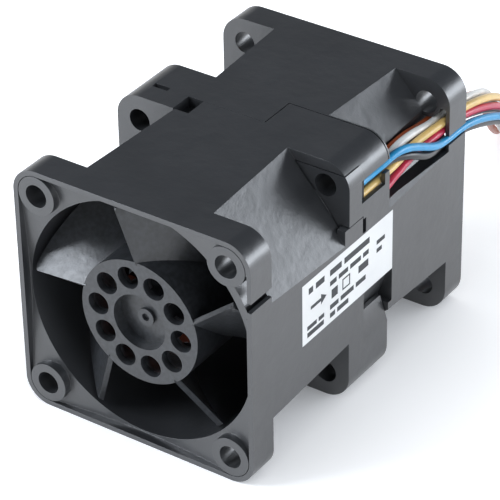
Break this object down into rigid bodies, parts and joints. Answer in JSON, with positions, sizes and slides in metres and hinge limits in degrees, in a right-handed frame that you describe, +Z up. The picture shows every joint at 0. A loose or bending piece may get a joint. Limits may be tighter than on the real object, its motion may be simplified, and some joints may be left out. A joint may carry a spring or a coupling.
{
  "type": "cooling fan",
  "caption": "Square axial server fan made of two frames latched back to back, each with its own motor and impeller turning opposite ways, with lead wires to plug connectors.",
  "frame": {"origin": "middle of the underside of the two frames, halfway along the airflow", "axes": "+Y along the airflow from the inlet to the outlet, +Z up, +X to the side of the lead wires; the inlet faces -Y"},
  "size_m": [0.0405, 0.128, 0.04],
  "materials": {
    "black_plastic": "satin, glass-filled",
    "steel": "ground or plated",
    "magnet": "matte, plastic-bonded ferrite",
    "lamination": "stacked sheet",
    "insulator": "satin, dark red moulding",
    "copper": "enamelled wire",
    "board": "solder mask",
    "chip": "matte",
    "board_lead": "satin insulation",
    "brass": "turned",
    "label": "matte film",
    "guide_rubber": "matte",
    "connector": "satin",
    "lead_blue": "satin insulation",
    "lead_black": "satin insulation",
    "lead_yellow": "satin insulation",
    "lead_red": "satin insulation",
    "lead_grey": "satin insulation",
    "lead_silver": "satin insulation",
    "lead_white": "satin insulation",
    "lead_brown": "satin insulation"
  },
  "bodies": {
    "housing": {"front_frame": "black_plastic", "rear_frame": "black_plastic", "label": "label", "lead_guide": "guide_rubber", "front_stator_core": "lamination", "front_insulators": "insulator", "front_windings": "copper", "front_circuit_board": "board", "front_board_parts": "chip", "front_board_leads": "board_lead", "front_bearing_tube": "brass", "front_outer_races": "steel", "front_balls": "steel", "front_connector": "connector", "rear_stator_core": "lamination", "rear_insulators": "insulator", "rear_windings": "copper", "rear_circuit_board": "board", "rear_board_parts": "chip", "rear_board_leads": "board_lead", "rear_bearing_tube": "brass", "rear_outer_races": "steel", "rear_balls": "steel", "rear_connector": "connector", "lead_blue": "lead_blue", "lead_black": "lead_black", "lead_yellow": "lead_yellow", "lead_red": "lead_red", "lead_grey": "lead_grey", "lead_silver": "lead_silver", "lead_white": "lead_white", "lead_brown": "lead_brown"},
    "front_rotor": {"front_impeller": "black_plastic", "front_yoke": "steel", "front_magnet": "magnet", "front_inner_races": "steel", "front_shaft": "steel", "front_retaining_ring": "steel", "front_preload_spring": "steel"},
    "rear_rotor": {"rear_impeller": "black_plastic", "rear_yoke": "steel", "rear_magnet": "magnet", "rear_inner_races": "steel", "rear_shaft": "steel", "rear_retaining_ring": "steel", "rear_preload_spring": "steel"}
  },
  "joints": [
    {"name": "front_rotor_spin", "type": "hinge", "parent": "housing", "child": "front_rotor", "pos_m": [0, 0, 0.02], "axis": [0, 1, 0], "continuous": true},
    {"name": "rear_rotor_spin", "type": "hinge", "parent": "housing", "child": "rear_rotor", "pos_m": [0, 0, 0.02], "axis": [0, 1, 0], "continuous": true}
  ]
}
